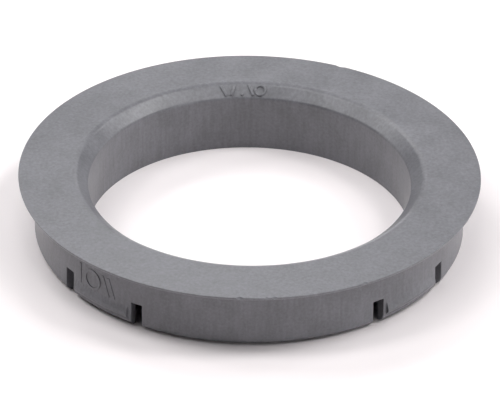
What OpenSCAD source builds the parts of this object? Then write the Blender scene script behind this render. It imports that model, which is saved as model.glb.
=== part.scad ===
// Hub centric ring: one moulded plastic ring that fills the gap between a car's
// hub spigot and the larger centre bore of a wheel. It lies as it rests on a table,
// flange up, with the origin at the centre of its foot and +Z along the bore.

/* [Fit sizes] */
// Bore that goes over the hub spigot, diameter
bore_d = 54.1; // [50:0.1:57]
// Body that fills the wheel's centre bore, diameter
body_d = 72; // [70:0.1:76]
// Height from the foot to the crest between flange and bore mouth
ring_h = 11.65; // [9:0.05:16]

/* [Flange] */
// Flange that stops against the wheel, diameter
flange_d = 77.6; // [77:0.1:86]
// How far the flange's top falls from its crest to its outer edge
flange_fall = 0.45; // [0:0.05:0.6]
// Thickness of the flange's lip
lip_t = 0.6; // [0.5:0.1:1.5]
// Bevel under the lip's outer edge
lip_bevel = 0.3; // [0.1:0.05:0.4]

/* [Bore mouth] */
// Width of the sloped mouth, measured outwards from the bore to the crest
mouth_w = 2.7; // [2.2:0.05:3.2]
// Depth of the sloped mouth below the crest
mouth_depth = 1.9; // [1.2:0.05:2.2]
// Radius of the crest, which blends the slope into the flange's top
crest_r = 1.5; // [1:0.1:2]

/* [Walls] */
// Thickness of the wall round the bore
bore_wall = 1.6; // [1.2:0.1:2]
// Thickness of the outer wall
skirt_wall = 1.6; // [1.2:0.1:2]
// Thickness of the deck that joins the two walls under the flange
deck_t = 2.4; // [1.8:0.1:3]
// Bevel at the foot of the bore
bore_bevel = 0.15; // [0.1:0.05:0.5]
// Width of the lead-in at the foot of the outer wall
lead_w = 1; // [0.2:0.05:1.1]
// Height of the lead-in at the foot of the outer wall
lead_h = 1; // [0.4:0.05:1.2]

/* [Ribs] */
// Thickness of each rib between the walls
rib_t = 1.2; // [0.8:0.1:2]
// Gap between the ribs' lower edge and the foot
rib_foot = 1; // [0.5:0.5:3]
// Ribs in each stretch between two tongues
rib_count = 3; // [1:1:3]
// Angle from one rib to the next
rib_step = 20; // [14:1:22]

/* [Snap tongues] */
// Angle of each tongue's middle from the front and back of the ring
tongue_angle = 46.3; // [44:0.1:48]
// Angle between the middles of a tongue's two notches
notch_spread = 24.6; // [22:0.1:27]
// Width of each notch
notch_w = 2.1; // [1.5:0.05:2.6]
// Height of each notch above the foot
notch_h = 4.7; // [4:0.1:6]

/* [Barbs] */
// How far each barb stands out of the body at its upright band
barb_out = 0.5; // [0.3:0.05:0.8]
// Height above the foot at which the barb's lower slope leaves the body
barb_foot = 1.5; // [1.3:0.1:1.6]
// Height above the foot at which the barb's upper slope meets the body
barb_top = 3.8; // [3.4:0.1:4.2]
// Height of the barb's upper slope
barb_fall = 1.2; // [0.6:0.1:1.4]
// Height of the upright band between the barb's two slopes
barb_band = 0.5; // [0.2:0.1:0.6]
// Plain tongue left between a barb's end and the notch beside it
barb_margin = 0.7; // [0.3:0.1:2]

/* [Mould mark] */
// Angle of the mark's middle, counted from +X
mark_angle = 90; // [0:1:359]
// Distance between the middles of the first and last raised shapes
mark_w = 6.2; // [6:0.1:10]
// Width of each raised bar
mark_bar_w = 0.5; // [0.4:0.05:0.8]
// Angle by which the raised bars lean, by turns to one side and the other
mark_lean = 22; // [10:1:30]
// Stroke of the raised hoop
mark_hoop_t = 0.4; // [0.3:0.05:0.45]
// How much shorter than the slope the raised shapes are, at each end
mark_gap = 0.1; // [0.05:0.05:0.3]
// How far the mark's middle lies above the middle of the slope
mark_rise = 0.35; // [0:0.05:0.35]
// How far the raised shapes stand out of the mouth
mark_out = 0.2; // [0.1:0.05:0.3]

/* [Hidden] */
$fn = 180;

bore_r = bore_d / 2;
body_r = body_d / 2;
flange_r = flange_d / 2;
// Depth by which one shape sinks into the next, so that they join as one solid
sink = 0.3;
// Length by which a cut runs past the face that it opens
past = 1;

channel_r0 = bore_r + bore_wall;
channel_r1 = body_r - skirt_wall;
channel_h = ring_h - deck_t;

// The mouth's slope leaves the bore's edge at a tangent to the crest's arc
to_crest = [mouth_w, mouth_depth - crest_r];
mouth_slope = atan2(to_crest.y, to_crest.x) + asin(crest_r / norm(to_crest));
mouth_length = sqrt(pow(norm(to_crest), 2) - pow(crest_r, 2));
crest_mid_r = bore_r + mouth_w;
CREST_STEPS = 6;

// Height of the flange's outer edge, and the angle at which its top falls towards it
rim_z = ring_h - flange_fall;
fall_angle = atan(flange_fall / (flange_r - crest_mid_r));

// One tongue in each quarter, mirrored over both axes, with a notch on each side
tongue_dirs = [for (side = [-90, 90], turn = [-1, 1]) side + turn * tongue_angle];
notch_dirs = [for (dir = tongue_dirs, turn = [-1, 1]) dir + turn * notch_spread / 2];
rib_dirs = [
    for (side = [0, 90, 180, 270], i = [0 : 1 : rib_count - 1])
        side + (i - (rib_count - 1) / 2) * rib_step
];
// Half the angle that a barb spans, from its tongue's middle
barb_half = notch_spread / 2 - asin((notch_w / 2 + barb_margin) / body_r);

// The raised shapes are as high as the mouth's slope without the two gaps
mark_h = mouth_length - 2 * mark_gap;
mark_bar_l = (mark_h - mark_bar_w * sin(mark_lean)) / cos(mark_lean);
mark_step = mark_w / 4;

// Section of the whole ring: bore wall, sloped mouth, deck, lip and outer wall
module ring_section() {
    crest = [
        for (i = [0 : CREST_STEPS])
            let (a = mouth_slope - (mouth_slope + fall_angle) * i / CREST_STEPS)
                [crest_mid_r - crest_r * sin(a), ring_h - crest_r * (1 - cos(a))]
    ];
    inside = [
        [bore_r + bore_bevel, 0],
        [bore_r, bore_bevel],
        [bore_r, ring_h - mouth_depth]
    ];
    outside = [
        [flange_r, rim_z],
        [flange_r, rim_z - lip_t + lip_bevel],
        [flange_r - lip_bevel, rim_z - lip_t],
        [body_r, rim_z - lip_t],
        [body_r, lead_h],
        [body_r - lead_w, 0]
    ];
    channel = [
        [channel_r1, 0],
        [channel_r1, channel_h],
        [channel_r0, channel_h],
        [channel_r0, 0]
    ];
    polygon(concat(inside, crest, outside, channel));
}

// Upright web from the bore wall to the outer wall, under the deck
module rib() {
    translate([channel_r0 - sink, -rib_t / 2, rib_foot])
        cube([channel_r1 - channel_r0 + 2 * sink, rib_t, channel_h - rib_foot + sink]);
}

// Notch through the outer wall, open at the foot
module notch() {
    translate([channel_r1 - past, -notch_w / 2, -past])
        cube([skirt_wall + 2 * past, notch_w, notch_h + past]);
}

// Low hump on the outside of a tongue, sloped above and below its upright band
module barb() {
    band_top = barb_top - barb_fall;
    rotate([0, 0, -barb_half])
        rotate_extrude(angle = 2 * barb_half)
            polygon([
                [body_r - sink, barb_foot],
                [body_r, barb_foot],
                [body_r + barb_out, band_top - barb_band],
                [body_r + barb_out, band_top],
                [body_r, barb_top],
                [body_r - sink, barb_top]
            ]);
}

// Puts a raised shape on the mouth's slope, a number of steps along the row
module on_mouth(steps) {
    up_slope = mouth_length / 2 + mark_rise;
    mid_r = bore_r + up_slope * cos(mouth_slope);
    mid_z = ring_h - mouth_depth + up_slope * sin(mouth_slope);
    rotate([0, 0, mark_angle - steps * mark_step / mid_r * 180 / PI])
        translate([mid_r, 0, mid_z])
            rotate([0, -mouth_slope, 0])
                children();
}

// Row of plain raised shapes on the mouth: three leaning bars, a dot and a hoop
module mould_mark() {
    for (place = [[-2, 1], [-1, -1], [1, 1]])
        on_mouth(place[0])
            rotate([0, 0, place[1] * mark_lean])
                translate([-mark_bar_l / 2, -mark_bar_w / 2, -sink])
                    cube([mark_bar_l, mark_bar_w, sink + mark_out]);
    on_mouth(0)
        translate([(mark_bar_w - mark_h) / 2, 0, -sink])
            cylinder(d = mark_bar_w, h = sink + mark_out, $fn = 24);
    on_mouth(2)
        difference() {
            translate([0, 0, -sink])
                cylinder(d = mark_h, h = sink + mark_out, $fn = 36);
            translate([0, 0, -sink - past])
                cylinder(d = mark_h - 2 * mark_hoop_t, h = sink + mark_out + 2 * past, $fn = 36);
        }
}

// The whole ring as it leaves the mould
module hub_ring() {
    color("#8b8a8d") {
        difference() {
            union() {
                rotate_extrude()
                    ring_section();
                for (dir = rib_dirs)
                    rotate([0, 0, dir])
                        rib();
            }
            for (dir = notch_dirs)
                rotate([0, 0, dir])
                    notch();
        }
        for (dir = tongue_dirs)
            rotate([0, 0, dir])
                barb();
        mould_mark();
    }
}

hub_ring();
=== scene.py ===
"""Hub centric ring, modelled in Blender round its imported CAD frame.

The ring lies on a white table with its flange up. Everything is in metres, +Z is up,
and the origin is the centre of the ring's foot, as in the CAD model."""

import math

import bmesh
import bpy
from mathutils import Matrix, Vector


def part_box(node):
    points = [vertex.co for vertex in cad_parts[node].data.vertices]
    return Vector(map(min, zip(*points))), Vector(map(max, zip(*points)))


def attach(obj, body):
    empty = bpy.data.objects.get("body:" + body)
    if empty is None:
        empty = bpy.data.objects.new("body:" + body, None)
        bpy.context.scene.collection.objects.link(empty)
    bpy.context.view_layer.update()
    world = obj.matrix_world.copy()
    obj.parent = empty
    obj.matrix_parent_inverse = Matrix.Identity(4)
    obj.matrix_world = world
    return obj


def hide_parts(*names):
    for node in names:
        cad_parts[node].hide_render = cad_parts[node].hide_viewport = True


bl_info = {
    "name": "Hub Centric Ring",
    "version": (1, 0, 0),
    "blender": (4, 5, 0),
    "location": "3D View > Sidebar > Hub Ring",
    "description": "Models a moulded hub centric ring and the table it lies on",
    "category": "Add Mesh",
}

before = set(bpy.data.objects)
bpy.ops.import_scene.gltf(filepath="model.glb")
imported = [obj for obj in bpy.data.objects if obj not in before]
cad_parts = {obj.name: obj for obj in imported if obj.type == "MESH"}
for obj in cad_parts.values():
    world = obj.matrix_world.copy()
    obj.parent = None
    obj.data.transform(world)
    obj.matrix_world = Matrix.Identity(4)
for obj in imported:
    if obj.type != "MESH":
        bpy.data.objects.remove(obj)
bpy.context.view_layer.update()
LOW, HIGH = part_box("hub_ring")

MM = 0.001
# Steps round the ring, one for each degree
ROUND_STEPS = 360
# Steps of each small rounded corner
CORNER_STEPS = 4
# Steps along a barb, round a raised hoop and round a raised dot
BARB_STEPS, HOOP_STEPS, DOT_STEPS = 18, 48, 24
# Depth by which a raised shape sinks into the ring before both are made one
SINK = 0.3 * MM
# Length by which a cutter runs past the face that it opens
PAST = 1.0 * MM
# Faces that meet at less than this are shaded as one surface
SMOOTH_ANGLE = math.radians(35)


def linear(hex_colour):
    """Turns an sRGB hex colour into the linear red, green and blue that Blender uses."""
    parts = [int(hex_colour[i:i + 2], 16) / 255 for i in (1, 3, 5)]
    return [c / 12.92 if c <= 0.04045 else ((c + 0.055) / 1.055) ** 2.4 for c in parts]


def length(name, description, mm):
    """A size property, whose default is given in millimetres."""
    return bpy.props.FloatProperty(
        name=name, description=description, default=mm * MM, min=0.0,
        precision=5, subtype="DISTANCE", unit="LENGTH",
    )


def angle(name, description, degrees):
    """An angle property, whose default is given in degrees."""
    return bpy.props.FloatProperty(
        name=name, description=description, default=math.radians(degrees),
        subtype="ANGLE", unit="ROTATION",
    )


def share(name, description, value):
    """A property between nothing and one."""
    return bpy.props.FloatProperty(
        name=name, description=description, default=value, min=0.0, max=1.0,
        subtype="FACTOR",
    )


def colour(name, description, hex_colour):
    """A colour property, whose default is an sRGB hex colour."""
    return bpy.props.FloatVectorProperty(
        name=name, description=description, default=linear(hex_colour),
        min=0.0, max=1.0, subtype="COLOR",
    )


class RingSizes(bpy.types.PropertyGroup):
    """Sizes of the moulded ring."""

    bore_d: length("Bore", "Diameter of the bore that goes over the hub spigot", 54.1)
    body_d: length("Body", "Diameter of the body that fills the wheel's bore", 72.0)
    ring_h: length("Height", "Height from the foot to the flange's crest", HIGH.z / MM)
    flange_d: length("Flange", "Diameter of the flange", (HIGH.x - LOW.x) / MM - 0.002)
    flange_fall: length("Flange fall", "Fall of the flange's top from crest to edge", 0.45)
    lip_t: length("Lip thickness", "Thickness of the flange's lip", 0.6)
    lip_top_round: length("Lip top round", "Rounding of the lip's upper edge", 0.08)
    lip_foot_round: length("Lip foot round", "Rounding of the lip's lower edge", 0.45)
    mouth_w: length("Mouth width", "Width of the mouth from the bore to the crest", 2.7)
    mouth_depth: length("Mouth depth", "Depth of the mouth below the crest", 1.9)
    crest_r: length("Crest radius", "Radius of the crest between mouth and flange", 1.5)
    bore_wall: length("Bore wall", "Thickness of the wall round the bore", 1.6)
    skirt_wall: length("Outer wall", "Thickness of the outer wall", 1.6)
    deck_t: length("Deck", "Thickness of the deck that joins the two walls", 2.4)
    bore_round: length("Bore round", "Rounding at the foot of the bore", 0.08)
    mouth_round: length("Mouth round", "Rounding between the bore and the mouth", 0.3)
    lead_w: length("Lead-in width", "Width of the lead-in at the body's foot", 1.0)
    lead_h: length("Lead-in height", "Height of the lead-in at the body's foot", 1.0)
    lead_round: length("Lead-in round", "Rounding of the lead-in's two edges", 0.4)
    fine_round: length("Fine round", "Rounding of the crisp moulded edges", 0.08)
    root_round: length("Root round", "Rounding of the corners between walls and deck", 0.3)
    rib_t: length("Rib thickness", "Thickness of each rib under the deck", 1.2)
    rib_foot: length("Rib foot", "Gap between the ribs' lower edge and the foot", 1.0)
    rib_step: angle("Rib step", "Angle from one rib to the next", 20.0)
    tongue_turn: angle("Tongue angle", "Angle of each tongue from the ring's front or back", 46.3)
    notch_spread: angle("Notch spread", "Angle between a tongue's two notches", 24.6)
    notch_w: length("Notch width", "Width of each notch", 2.1)
    notch_h: length("Notch height", "Height of each notch above the foot", 4.7)
    barb_out: length("Barb reach", "How far a barb stands out at its upright band", 0.5)
    barb_foot: length("Barb foot", "Height at which a barb's lower slope starts", 1.5)
    barb_top: length("Barb top", "Height at which a barb's upper slope ends", 3.8)
    barb_fall: length("Barb fall", "Height of a barb's upper slope", 1.2)
    barb_band: length("Barb band", "Height of the upright band between the slopes", 0.5)
    barb_round: length("Barb round", "Rounding of the barb's long edges", 0.2)
    barb_margin: length("Barb margin", "Plain tongue between a barb and its notch", 0.7)
    mark_turn: angle("Mark angle", "Angle of the mould mark from +X", 90.0)
    mark_w: length("Mark width", "Distance between the mark's first and last shapes", 6.2)
    mark_bar_w: length("Mark bar", "Width of each raised bar", 0.5)
    mark_lean: angle("Mark lean", "Angle by which the raised bars lean", 22.0)
    mark_hoop_t: length("Mark hoop", "Stroke of the raised hoop", 0.4)
    mark_gap: length("Mark gap", "How much shorter than the slope the mark is at each end", 0.1)
    mark_rise: length("Mark rise", "How far the mark lies above the slope's middle", 0.35)
    mark_out: length("Mark height", "How far the mark stands out of the mouth", 0.2)
    worn_turn: angle("Worn mark angle", "Angle of the worn mark on a tongue from +X", -139.0)
    worn_z: length("Worn mark place", "Height of the worn mark's middle above the foot", 5.8)
    worn_h: length("Worn mark", "Height of the worn mark's raised shapes", 3.8)
    worn_t: length("Worn mark stroke", "Width of the worn mark's strokes", 0.45)
    worn_out: length("Worn mark height", "How far the worn mark stands out of its tongue", 0.1)


class RingFinish(bpy.types.PropertyGroup):
    """Colour and surface of the moulded plastic."""

    plastic: colour("Plastic", "Colour of the filled plastic", "#6f6f74")
    roughness: share("Roughness", "Roughness of the moulded skin", 0.34)
    grain: length("Grain", "Distance between the grains of the moulded skin", 0.45)
    mottle: length("Mottle", "Size of the cloudy patches in the colour", 5.0)
    drag: length("Drag", "Distance between the wall's upright drag marks", 0.6)
    # Reach of the painted shade: the plastic's colour is darkened in tight corners, where ambient
    # occlusion finds faces this close
    corner_shade: length("Painted corner shade", "How far the grime reaches out of the sharp corners", 0.35)


class StageLook(bpy.types.PropertyGroup):
    """Table, light and camera round the ring."""

    table: colour("Table", "Colour of the table", "#f8f2f3")
    studio: share("Studio light", "Strength of the dim light from all round", 0.01)
    camera_turn: angle("Camera angle", "How far the camera stands round the ring", -3.07)
    camera_rise: angle("Camera height", "How far the camera looks down", 31.77)
    camera_roll: angle("Camera roll", "How far the camera is turned about its view", 0.77)


def choose(kind, test):
    """Selects what passes a test, among the mesh's vertices, edges or faces in edit mode."""
    bpy.ops.mesh.select_mode(type=kind)
    bpy.ops.mesh.select_all(action="DESELECT")
    mesh = bpy.context.edit_object.data
    form = bmesh.from_edit_mesh(mesh)
    for item in {"VERT": form.verts, "EDGE": form.edges, "FACE": form.faces}[kind]:
        item.select_set(test(item))
    form.select_flush_mode()
    bmesh.update_edit_mesh(mesh)


def draw_outline(name, points):
    """Draws a closed outline in the XZ plane, one vertex pulled on from point to point."""
    bpy.ops.object.select_all(action="DESELECT")
    bpy.ops.mesh.primitive_plane_add(size=MM, enter_editmode=True)
    bpy.context.edit_object.name = name
    bpy.ops.mesh.select_mode(type="VERT")
    bpy.ops.mesh.merge(type="CENTER")
    places = [Vector((across, 0.0, up)) for across, up in points]
    bpy.ops.transform.translate(value=places[0])
    for before, after in zip(places, places[1:]):
        bpy.ops.mesh.extrude_region_move(TRANSFORM_OT_translate={"value": after - before})
    choose("VERT", lambda v: len(v.link_edges) == 1)
    bpy.ops.mesh.edge_face_add()


def round_corner(place, reach, steps=CORNER_STEPS):
    """Rounds the outline's corner at a place, from the given reach along both of its sides."""
    corner = Vector((place[0], 0.0, place[1]))
    choose("VERT", lambda v: (v.co - corner).length < SINK / 100)
    bpy.ops.mesh.bevel(offset_type="OFFSET", offset=reach, segments=steps, affect="VERTICES")


def spin_outline(turn=math.tau, steps=ROUND_STEPS):
    """Spins the outline clockwise about the Z axis into a solid, closed after a part turn."""
    bpy.ops.mesh.select_all(action="SELECT")
    bpy.ops.mesh.spin(steps=steps, angle=turn, center=(0, 0, 0), axis=(0, 0, 1))
    bpy.ops.mesh.select_all(action="SELECT")
    bpy.ops.mesh.remove_doubles(threshold=SINK / 1000)
    if turn < math.tau:
        bpy.ops.mesh.select_all(action="DESELECT")
        bpy.ops.mesh.select_non_manifold()
        bpy.ops.mesh.edge_face_add()
        bpy.ops.mesh.select_all(action="SELECT")
    bpy.ops.mesh.normals_make_consistent(inside=False)
    bpy.ops.object.mode_set(mode="OBJECT")
    return bpy.context.object


def add_box(name, low, high):
    """Adds a box between two corners and stays in edit mode to shape it."""
    bpy.ops.object.select_all(action="DESELECT")
    bpy.ops.mesh.primitive_cube_add(size=1.0, enter_editmode=True)
    bpy.context.edit_object.name = name
    size = [h - l for l, h in zip(low, high)]
    bpy.ops.transform.resize(value=size, center_override=(0, 0, 0))
    bpy.ops.transform.translate(value=[(l + h) / 2 for l, h in zip(low, high)])


def placed(shape, places):
    """Copies a shape to each place, deletes the first one and joins the copies."""
    copies = []
    for place in places:
        copy = shape.copy()
        copy.data = shape.data.copy()
        bpy.context.collection.objects.link(copy)
        copy.data.transform(place)
        copies.append(copy)
    bpy.data.objects.remove(shape)
    bpy.ops.object.select_all(action="DESELECT")
    for copy in copies:
        copy.select_set(True)
    bpy.context.view_layer.objects.active = copies[0]
    bpy.ops.object.join()
    return bpy.context.object


def turned(angles):
    """The places that turn a shape about the ring's axis by each angle."""
    return [Matrix.Rotation(turn, 4, "Z") for turn in angles]


def make_one(ring, shape, operation):
    """Adds a shape to the ring or cuts it out, and removes the shape."""
    bpy.context.view_layer.objects.active = ring
    bpy.ops.object.modifier_add(type="BOOLEAN")
    step = ring.modifiers[-1]
    step.operation, step.solver, step.object = operation, "EXACT", shape
    bpy.ops.object.modifier_apply(modifier=step.name)
    bpy.data.objects.remove(shape)


def tongue_turns(sizes):
    """The angle of each of the four tongues, mirrored over both axes."""
    return [
        side + turn * sizes.tongue_turn
        for side in (-math.pi / 2, math.pi / 2) for turn in (-1, 1)
    ]


def mouth_slope(sizes):
    """The mouth's slope and its straight length, from the bore's edge to the crest's arc."""
    up = sizes.mouth_depth - sizes.crest_r
    away = math.hypot(sizes.mouth_w, up)
    slope = math.atan2(up, sizes.mouth_w) + math.asin(sizes.crest_r / away)
    return slope, math.sqrt(away ** 2 - sizes.crest_r ** 2)


def crest_corner(sizes):
    """The corner in which the mouth's slope and the flange's top meet, and its rounding's reach."""
    slope, _ = mouth_slope(sizes)
    middle_r = sizes.bore_d / 2 + sizes.mouth_w
    fall = math.atan(sizes.flange_fall / (sizes.flange_d / 2 - middle_r))
    half_turn, lean = (slope + fall) / 2, (slope - fall) / 2
    away = sizes.crest_r / math.cos(half_turn)
    middle_z = sizes.ring_h - sizes.crest_r
    place = (middle_r - away * math.sin(lean), middle_z + away * math.cos(lean))
    return place, sizes.crest_r * math.tan(half_turn)


def turned_body(sizes):
    """The ring without notches: its section drawn, its corners rounded, then spun."""
    bore_r, body_r, flange_r = sizes.bore_d / 2, sizes.body_d / 2, sizes.flange_d / 2
    inner_r, outer_r = bore_r + sizes.bore_wall, body_r - sizes.skirt_wall
    rim_z, deck_z = sizes.ring_h - sizes.flange_fall, sizes.ring_h - sizes.deck_t
    lip_z = rim_z - sizes.lip_t
    corners = [
        ((bore_r, 0.0), sizes.bore_round),
        ((bore_r, sizes.ring_h - sizes.mouth_depth), sizes.mouth_round),
        crest_corner(sizes),
        ((flange_r, rim_z), sizes.lip_top_round),
        ((flange_r, lip_z), sizes.lip_foot_round),
        ((body_r, lip_z), sizes.root_round),
        ((body_r, sizes.lead_h), sizes.lead_round),
        ((body_r - sizes.lead_w, 0.0), sizes.lead_round),
        ((outer_r, 0.0), sizes.fine_round),
        ((outer_r, deck_z), sizes.root_round),
        ((inner_r, deck_z), sizes.root_round),
        ((inner_r, 0.0), sizes.fine_round),
    ]
    draw_outline("moulded_ring", [place for place, _ in corners])
    for place, reach in corners:
        round_corner(place, reach)
    return spin_outline()


def notch_cutters(sizes):
    """Eight cutters for the tongues' notches, each wider where it leaves the outer wall."""
    body_r, half_w = sizes.body_d / 2, sizes.notch_w / 2
    inside, skin = body_r - sizes.skirt_wall - PAST, body_r - sizes.fine_round
    add_box("notch_cutter", (inside, -half_w, -PAST), (skin, half_w, sizes.notch_h))
    choose("FACE", lambda f: f.normal.x > 0.9)
    bpy.ops.mesh.extrude_region_move(
        TRANSFORM_OT_translate={"value": (sizes.fine_round, 0, 0)}
    )
    flare = (1, 1 + sizes.fine_round / half_w, 1 + sizes.fine_round / (sizes.notch_h + PAST))
    bpy.ops.transform.resize(value=flare, center_override=(body_r, 0, -PAST))
    bpy.ops.mesh.extrude_region_move(TRANSFORM_OT_translate={"value": (PAST, 0, 0)})
    bpy.ops.object.mode_set(mode="OBJECT")
    turns = [
        tongue + side * sizes.notch_spread / 2 for tongue in tongue_turns(sizes) for side in (-1, 1)
    ]
    return placed(bpy.context.object, turned(turns))


def deck_ribs(sizes):
    """Twelve upright ribs between the two walls, their lower edges rounded."""
    inner_r = sizes.bore_d / 2 + sizes.bore_wall
    outer_r = sizes.body_d / 2 - sizes.skirt_wall
    deck_z, half_t = sizes.ring_h - sizes.deck_t, sizes.rib_t / 2
    low = (inner_r - SINK, -half_t, sizes.rib_foot)
    add_box("deck_rib", low, (outer_r + SINK, half_t, deck_z + SINK))
    choose("EDGE", lambda e: all(v.co.z < deck_z / 2 for v in e.verts)
           and abs(e.verts[0].co.x - e.verts[1].co.x) > half_t)
    bpy.ops.mesh.bevel(offset=half_t / 2, segments=CORNER_STEPS)
    bpy.ops.object.mode_set(mode="OBJECT")
    turns = [side * math.pi / 2 + i * sizes.rib_step for side in range(4) for i in (-1, 0, 1)]
    return placed(bpy.context.object, turned(turns))


def snap_barbs(sizes):
    """Four low humps on the tongues, each sloped above and below its upright band."""
    body_r = sizes.body_d / 2
    band_top = sizes.barb_top - sizes.barb_fall
    band_z = band_top - sizes.barb_band
    gap = (sizes.notch_w / 2 + sizes.barb_margin) / body_r
    half = sizes.notch_spread / 2 - math.asin(gap)
    draw_outline("snap_barb", [
        (body_r - SINK, sizes.barb_foot),
        (body_r, sizes.barb_foot),
        (body_r + sizes.barb_out, band_z),
        (body_r + sizes.barb_out, band_top),
        (body_r, sizes.barb_top),
        (body_r - SINK, sizes.barb_top),
    ])
    round_corner((body_r + sizes.barb_out, band_z), sizes.barb_round)
    round_corner((body_r + sizes.barb_out, band_top), sizes.barb_round)
    barb = spin_outline(turn=2 * half, steps=BARB_STEPS)
    return placed(barb, turned([tongue + half for tongue in tongue_turns(sizes)]))


def mark_place(sizes, step):
    """The place on the mouth's slope that is some steps along the mould mark."""
    slope, reach = mouth_slope(sizes)
    up_slope = reach / 2 + sizes.mark_rise
    middle_r = sizes.bore_d / 2 + up_slope * math.cos(slope)
    middle_z = sizes.ring_h - sizes.mouth_depth + up_slope * math.sin(slope)
    turn = sizes.mark_turn - step * sizes.mark_w / 4 / middle_r
    return (
        Matrix.Rotation(turn, 4, "Z")
        @ Matrix.Translation((middle_r, 0, middle_z))
        @ Matrix.Rotation(-slope, 4, "Y")
    )


def raised_bar(tall, width, out):
    """A raised bar along X with soft upper edges."""
    add_box("mark_bar", (-tall / 2, -width / 2, -SINK), (tall / 2, width / 2, out))
    choose("EDGE", lambda e: all(v.co.z > 0 for v in e.verts))
    bpy.ops.mesh.bevel(offset=out / 4, segments=CORNER_STEPS)
    bpy.ops.object.mode_set(mode="OBJECT")
    return bpy.context.object


def raised_hoop(tall, stroke, out):
    """A raised hoop with soft upper edges."""
    inner, outer = tall / 2 - stroke, tall / 2
    draw_outline("mark_hoop", [(inner, -SINK), (outer, -SINK), (outer, out), (inner, out)])
    round_corner((outer, out), out / 4)
    round_corner((inner, out), out / 4)
    return spin_outline(steps=HOOP_STEPS)


def mould_mark(sizes):
    """Raised leaning bars, a dot and a hoop in a row on the mouth."""
    tall = mouth_slope(sizes)[1] - 2 * sizes.mark_gap
    half_w, out, lean = sizes.mark_bar_w / 2, sizes.mark_out, sizes.mark_lean
    bar_l = (tall - 2 * half_w * math.sin(lean)) / math.cos(lean)
    bars = placed(raised_bar(bar_l, sizes.mark_bar_w, out), [
        mark_place(sizes, step) @ Matrix.Rotation(side * lean, 4, "Z")
        for step, side in ((-2, 1), (-1, -1), (1, 1))
    ])

    bpy.ops.object.select_all(action="DESELECT")
    bpy.ops.mesh.primitive_cylinder_add(
        vertices=DOT_STEPS, radius=half_w, depth=SINK + out, enter_editmode=True
    )
    bpy.ops.transform.translate(value=(0, 0, (out - SINK) / 2))
    choose("EDGE", lambda e: all(v.co.z > 0 for v in e.verts))
    bpy.ops.mesh.bevel(offset=out / 4, segments=CORNER_STEPS)
    bpy.ops.object.mode_set(mode="OBJECT")
    aside = Matrix.Translation((half_w - tall / 2, 0, 0))
    dot = placed(bpy.context.object, [mark_place(sizes, 0) @ aside])

    hoop = placed(raised_hoop(tall, sizes.mark_hoop_t, out), [mark_place(sizes, 2)])
    return bars, dot, hoop


# Step between the worn mark's shapes and place of its last bar, as shares of its height
WORN_STEP, WORN_LAST = 0.8, 1.12
WORN_LEAN = math.radians(20)


def worn_mark(sizes):
    """A second, fainter row of plain shapes on the front left tongue, above its barb."""
    body_r = sizes.body_d / 2

    def on_wall(across):
        """The place that is a distance across the wall from the row's middle."""
        return (
            Matrix.Rotation(sizes.worn_turn + across / body_r, 4, "Z")
            @ Matrix.Translation((body_r, 0, sizes.worn_z))
            @ Matrix.Rotation(math.pi / 2, 4, "Y")
        )

    tall = sizes.worn_h
    lean = Matrix.Rotation(WORN_LEAN, 4, "Z")
    bars = placed(raised_bar(tall, sizes.worn_t, sizes.worn_out), [
        on_wall(-WORN_STEP * tall),
        on_wall(WORN_STEP * tall) @ lean,
        on_wall(WORN_LAST * tall) @ lean,
    ])
    hoop = placed(raised_hoop(tall, sizes.worn_t, sizes.worn_out), [on_wall(0)])
    return bars, hoop


# Small nicks in the lip's edge: angle from +X in degrees, length and depth in millimetres
LIP_NICKS = [
    (63.8, 1.9, 0.20),
    (264.9, 1.3, 0.28),
    (271.5, 0.8, 0.20),
    (273.5, 1.0, 0.26),
    (296.9, 1.0, 0.22),
]


def lip_nicks(sizes):
    """A ball for each nick, which cuts a shallow scoop out of the lip's upper edge."""
    edge = Vector((sizes.flange_d / 2, 0.0, sizes.ring_h - sizes.flange_fall))
    outwards = Vector((1.0, 0.0, 1.0)).normalized()
    for turn, long, deep in LIP_NICKS:
        ball_r = (long ** 2 / 4 + deep ** 2) / (2 * deep) * MM
        bpy.ops.object.select_all(action="DESELECT")
        bpy.ops.mesh.primitive_ico_sphere_add(subdivisions=5, radius=ball_r)
        away = Matrix.Translation(edge + outwards * (ball_r - deep * MM))
        yield placed(bpy.context.object, [Matrix.Rotation(math.radians(turn), 4, "Z") @ away])


def add_node(tree, kind, links=None, **settings):
    """Adds a node with its settings, and links or sets its inputs by name or number."""
    node = tree.nodes.new(kind)
    for key, value in settings.items():
        setattr(node, key, value)
    for key, value in (links or {}).items():
        if isinstance(value, bpy.types.NodeSocket):
            tree.links.new(value, node.inputs[key])
        else:
            node.inputs[key].default_value = value
    return node


def new_material(name):
    """An empty node material, with its tree and its output node."""
    material = bpy.data.materials.new(name)
    material.use_nodes = True
    material.node_tree.nodes.clear()
    output = material.node_tree.nodes.new("ShaderNodeOutputMaterial")
    return material, material.node_tree, output


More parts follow.
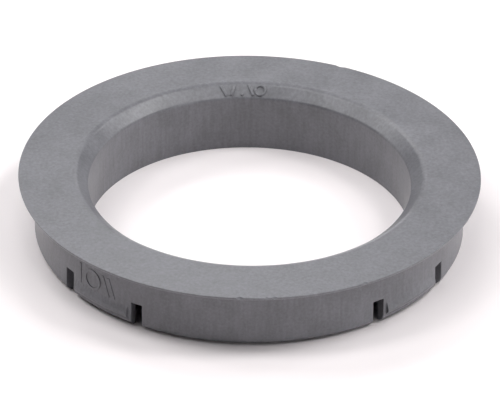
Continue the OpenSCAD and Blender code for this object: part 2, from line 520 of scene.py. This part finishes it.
def moulded_abs(finish):
    """Grey filled ABS, injection moulded in a turned steel mould.

    The eye gets a mid grey with faint clouds and a sandy grain, a soft sheen that mirrors the
    lamps as wide patches, upright drag marks where the wall left the mould, and painted shade:
    the colour is darkened in tight corners and round the raised shapes, where shade falls."""
    material, tree, output = new_material("moulded_abs")
    place = add_node(tree, "ShaderNodeTexCoord").outputs["Object"]
    clouds = add_node(tree, "ShaderNodeTexNoise", {
        "Vector": place, "Scale": 1 / finish.mottle, "Detail": 3.0, "Roughness": 0.5,
    })
    grains = add_node(tree, "ShaderNodeTexNoise", {
        "Vector": place, "Scale": 1 / finish.grain, "Detail": 2.0, "Roughness": 0.6,
    })
    upright = add_node(tree, "ShaderNodeMapping", {"Vector": place, "Scale": (1.0, 1.0, 0.12)})
    drags = add_node(tree, "ShaderNodeTexNoise", {
        "Vector": upright.outputs["Vector"], "Scale": 1 / finish.drag, "Detail": 1.0,
    })
    marks = add_node(tree, "ShaderNodeMix", {
        "Factor": 0.4, "A": grains.outputs["Fac"], "B": drags.outputs["Fac"],
    })
    both = add_node(tree, "ShaderNodeMix", {
        "Factor": 0.65, "A": clouds.outputs["Fac"], "B": marks.outputs["Result"],
    })
    shade = add_node(tree, "ShaderNodeMapRange", {
        "Value": both.outputs["Result"], "From Min": 0.35, "From Max": 0.65,
        "To Min": 0.79, "To Max": 1.21,
    })
    # Painted shade: the next nodes darken the plastic's colour in concave corners and round the
    # raised shapes, where ambient occlusion finds faces close by
    open_air = add_node(
        tree, "ShaderNodeAmbientOcclusion", {"Distance": finish.corner_shade}, samples=8, only_local=True
    )
    painted_shade_level = add_node(tree, "ShaderNodeMapRange", {
        "Value": open_air.outputs["AO"], "From Min": 0.4, "From Max": 0.9,
        "To Min": 0.84, "To Max": 1.0,
    })
    level = add_node(tree, "ShaderNodeMath", {
        0: shade.outputs["Result"], 1: painted_shade_level.outputs["Result"],
    }, operation="MULTIPLY")
    tint = add_node(tree, "ShaderNodeVectorMath", {
        0: tuple(finish.plastic), "Scale": level.outputs["Value"],
    }, operation="SCALE")
    dull = add_node(tree, "ShaderNodeMapRange", {
        "Value": clouds.outputs["Fac"], "From Min": 0.3, "From Max": 0.7,
        "To Min": finish.roughness - 0.04, "To Max": finish.roughness + 0.04,
    })
    grain_bump = add_node(tree, "ShaderNodeBump", {
        "Strength": 0.6, "Distance": 0.02 * MM, "Height": marks.outputs["Result"],
    })
    skin = add_node(tree, "ShaderNodeBsdfPrincipled", {
        "Base Color": tint.outputs["Vector"],
        "Roughness": dull.outputs["Result"],
        "IOR": 1.49,
        "Normal": grain_bump.outputs["Normal"],
    })
    tree.links.new(skin.outputs["BSDF"], output.inputs["Surface"])
    return material


def seen_rays(tree):
    """One for the rays that show a surface to the eye, straight, mirrored or through glass."""
    rays = add_node(tree, "ShaderNodeLightPath").outputs
    seen = add_node(tree, "ShaderNodeMath", {
        0: rays["Is Camera Ray"], 1: rays["Is Glossy Ray"],
    }, operation="MAXIMUM")
    seen = add_node(tree, "ShaderNodeMath", {
        0: seen.outputs["Value"], 1: rays["Is Transmission Ray"],
    }, operation="MAXIMUM")
    return seen.outputs["Value"]


# Distances from the ring between which the table turns a plain white
WHITE_FROM, WHITE_TO = 0.1, 0.35


def white_table(look):
    """Satin white laminate, which stays a plain white in the distance."""
    material, tree, output = new_material("white_laminate")
    place = add_node(tree, "ShaderNodeTexCoord").outputs["Object"]
    away = add_node(tree, "ShaderNodeVectorMath", {0: place}, operation="LENGTH")
    far = add_node(tree, "ShaderNodeMapRange", {
        "Value": away.outputs["Value"], "From Min": WHITE_FROM, "From Max": WHITE_TO,
    })
    plain = add_node(tree, "ShaderNodeMath", {
        0: seen_rays(tree), 1: far.outputs["Result"],
    }, operation="MULTIPLY")
    laminate = add_node(tree, "ShaderNodeBsdfPrincipled", {
        "Base Color": (*look.table, 1.0), "Roughness": 0.6,
    })
    white = add_node(tree, "ShaderNodeEmission", {"Strength": 1.0})
    mix = add_node(tree, "ShaderNodeMixShader", {
        0: plain.outputs["Value"], 1: laminate.outputs["BSDF"], 2: white.outputs["Emission"],
    })
    tree.links.new(mix.outputs["Shader"], output.inputs["Surface"])
    return material


def finish_mesh(ring):
    """Shades the ring smooth between its crisp edges, with its flat faces kept flat."""
    bpy.ops.object.select_all(action="DESELECT")
    ring.select_set(True)
    bpy.context.view_layer.objects.active = ring
    bpy.ops.object.shade_smooth_by_angle(angle=SMOOTH_ANGLE)
    bpy.ops.object.modifier_add(type="WEIGHTED_NORMAL")
    ring.modifiers[-1].keep_sharp = True
    bpy.ops.object.modifier_apply(modifier=ring.modifiers[-1].name)


class HUBRING_OT_ring(bpy.types.Operator):
    """Model the moulded ring with its notches, ribs, barbs, raised marks and nicks"""

    bl_idname = "hubring.ring"
    bl_label = "Moulded Ring"
    bl_options = {"REGISTER", "UNDO"}

    def execute(self, context):
        sizes = context.scene.ring_sizes
        ring = turned_body(sizes)
        make_one(ring, deck_ribs(sizes), "UNION")
        make_one(ring, notch_cutters(sizes), "DIFFERENCE")
        make_one(ring, snap_barbs(sizes), "UNION")
        for shape in (*mould_mark(sizes), *worn_mark(sizes)):
            make_one(ring, shape, "UNION")
        for ball in lip_nicks(sizes):
            make_one(ring, ball, "DIFFERENCE")
        finish_mesh(ring)
        ring.data.materials.clear()
        ring.data.materials.append(moulded_abs(context.scene.ring_finish))
        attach(ring, "root")
        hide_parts("hub_ring")
        return {"FINISHED"}


TABLE_R, TABLE_T, TABLE_ROUND = 1.5, 20 * MM, 3 * MM


def add_table(look):
    """A round table top with a softened rim."""
    bpy.ops.object.select_all(action="DESELECT")
    bpy.ops.mesh.primitive_circle_add(
        vertices=96, radius=TABLE_R, fill_type="NGON", enter_editmode=True
    )
    table = bpy.context.edit_object
    table.name = "table"
    bpy.ops.mesh.extrude_region_move(TRANSFORM_OT_translate={"value": (0, 0, -TABLE_T)})
    choose("EDGE", lambda e: all(abs(v.co.z) < MM for v in e.verts))
    bpy.ops.mesh.bevel(offset=TABLE_ROUND, segments=CORNER_STEPS)
    bpy.ops.mesh.select_all(action="SELECT")
    bpy.ops.mesh.normals_make_consistent(inside=False)
    bpy.ops.object.mode_set(mode="OBJECT")
    table.data.materials.append(white_table(look))


# Round softboxes of one size, all aimed at the ring from one distance
SOFTBOX_D = 0.26
SOFTBOX_AWAY = 0.9
# Angle from +X and angle above the table in degrees, and power in watts
SOFTBOXES = [
    (0, 8, 0.3),
    (22, 8, 0.6),
    (90, 8, 0.5),
    (158, 8, 0.6),
    (315, 8, 1.3),
    (338, 8, 0.2),
    (0, 24, 0.3),
    (68, 24, 0.4),
    (0, 42, 1.5),
    (30, 42, 1.1),
    (90, 42, 0.6),
    (120, 42, 1.3),
    (150, 42, 1.6),
    (180, 42, 0.3),
    (0, 60, 1.9),
    (180, 60, 1.6),
    (225, 60, 0.3),
    (315, 60, 0.8),
    (180, 77, 0.9),
    (270, 77, 1.1),
]


def add_softbox(turn, rise, power):
    """A round softbox aimed at the ring."""
    turn, rise = math.radians(turn), math.radians(rise)
    way = Vector((math.cos(turn) * math.cos(rise), math.sin(turn) * math.cos(rise), math.sin(rise)))
    aim = (-way).to_track_quat("-Z", "Y").to_euler()
    bpy.ops.object.light_add(type="AREA", location=way * SOFTBOX_AWAY, rotation=aim)
    lamp = bpy.context.object
    lamp.name = "softbox"
    lamp.data.shape = "DISK"
    lamp.data.size = SOFTBOX_D
    lamp.data.energy = power


# Angle above the horizon up to which the paper behind the table shows
PAPER_TOP = math.radians(5)


def light_studio(scene, look):
    """A dim studio all round, with the white paper behind the table up to the horizon."""
    world = bpy.data.worlds.new("studio")
    world.use_nodes = True
    tree = world.node_tree
    tree.nodes.clear()
    way = add_node(tree, "ShaderNodeSeparateXYZ", {
        "Vector": add_node(tree, "ShaderNodeTexCoord").outputs["Generated"],
    })
    paper = add_node(tree, "ShaderNodeMath", {
        0: way.outputs["Z"], 1: math.sin(PAPER_TOP),
    }, operation="LESS_THAN")
    white = add_node(tree, "ShaderNodeMath", {
        0: seen_rays(tree), 1: paper.outputs["Value"],
    }, operation="MULTIPLY")
    strength = add_node(tree, "ShaderNodeMapRange", {
        "Value": white.outputs["Value"], "To Min": look.studio, "To Max": 1.0,
    })
    light = add_node(tree, "ShaderNodeBackground", {"Strength": strength.outputs["Result"]})
    light.inputs["Color"].default_value = (1.0, 1.0, 1.0, 1.0)
    output = tree.nodes.new("ShaderNodeOutputWorld")
    tree.links.new(light.outputs["Background"], output.inputs["Surface"])
    scene.world = world
    for softbox in SOFTBOXES:
        add_softbox(*softbox)


# Distance of the camera, and where the ring's middle lies in the photograph's frame
CAMERA_AWAY = 2.0
FRAME_W = 500
PIXELS_PER_M = 5946
ORIGIN_RIGHT, ORIGIN_DOWN = -1.12, 31.57


def add_camera(scene, look):
    """A long lens that looks down at the ring, as in the photograph."""
    rise, turn, roll = look.camera_rise, look.camera_turn, look.camera_roll
    back = Vector((
        math.sin(turn) * math.cos(rise), -math.cos(turn) * math.cos(rise), math.sin(rise)
    ))
    right = Vector((math.cos(turn), math.sin(turn), 0.0))
    up = back.cross(right)
    side = right * math.cos(roll) + up * math.sin(roll)
    top = up * math.cos(roll) - right * math.sin(roll)
    place = back * CAMERA_AWAY - side * ORIGIN_RIGHT / PIXELS_PER_M
    place += top * ORIGIN_DOWN / PIXELS_PER_M
    bpy.ops.object.camera_add()
    camera = bpy.context.object
    turn = Matrix((side, top, back)).transposed()
    camera.matrix_world = Matrix.Translation(place) @ turn.to_4x4()
    camera.data.lens = PIXELS_PER_M * CAMERA_AWAY * camera.data.sensor_width / FRAME_W
    camera.data.clip_start, camera.data.clip_end = 0.1, 10.0
    scene.camera = camera


class HUBRING_OT_stage(bpy.types.Operator):
    """Add the white table, the lamps and the camera"""

    bl_idname = "hubring.stage"
    bl_label = "Table, Light and Camera"
    bl_options = {"REGISTER", "UNDO"}

    def execute(self, context):
        look = context.scene.stage_look
        add_table(look)
        light_studio(context.scene, look)
        add_camera(context.scene, look)
        context.scene.view_settings.view_transform = "Standard"
        return {"FINISHED"}


class HUBRING_PT_panel(bpy.types.Panel):
    """Sizes, finish and stage of the ring, with the buttons that make them"""

    bl_idname = "HUBRING_PT_panel"
    bl_label = "Hub Centric Ring"
    bl_space_type = "VIEW_3D"
    bl_region_type = "UI"
    bl_category = "Hub Ring"

    def draw(self, context):
        scene = context.scene
        parts = (
            ("Ring", scene.ring_sizes, HUBRING_OT_ring),
            ("Finish", scene.ring_finish, None),
            ("Stage", scene.stage_look, HUBRING_OT_stage),
        )
        for title, group, operator in parts:
            box = self.layout.box()
            box.label(text=title)
            for name in type(group).__annotations__:
                box.prop(group, name)
            if operator:
                box.operator(operator.bl_idname)


CLASSES = (
    RingSizes, RingFinish, StageLook, HUBRING_OT_ring, HUBRING_OT_stage, HUBRING_PT_panel,
)


def register():
    """Registers the classes and gives the scene its settings."""
    for cls in CLASSES:
        bpy.utils.register_class(cls)
    bpy.types.Scene.ring_sizes = bpy.props.PointerProperty(type=RingSizes)
    bpy.types.Scene.ring_finish = bpy.props.PointerProperty(type=RingFinish)
    bpy.types.Scene.stage_look = bpy.props.PointerProperty(type=StageLook)


def unregister():
    """Takes the settings and the classes away again."""
    del bpy.types.Scene.stage_look
    del bpy.types.Scene.ring_finish
    del bpy.types.Scene.ring_sizes
    for cls in reversed(CLASSES):
        bpy.utils.unregister_class(cls)


def main():
    register()
    bpy.ops.hubring.ring()
    bpy.ops.hubring.stage()


if __name__ == "__main__":
    main()
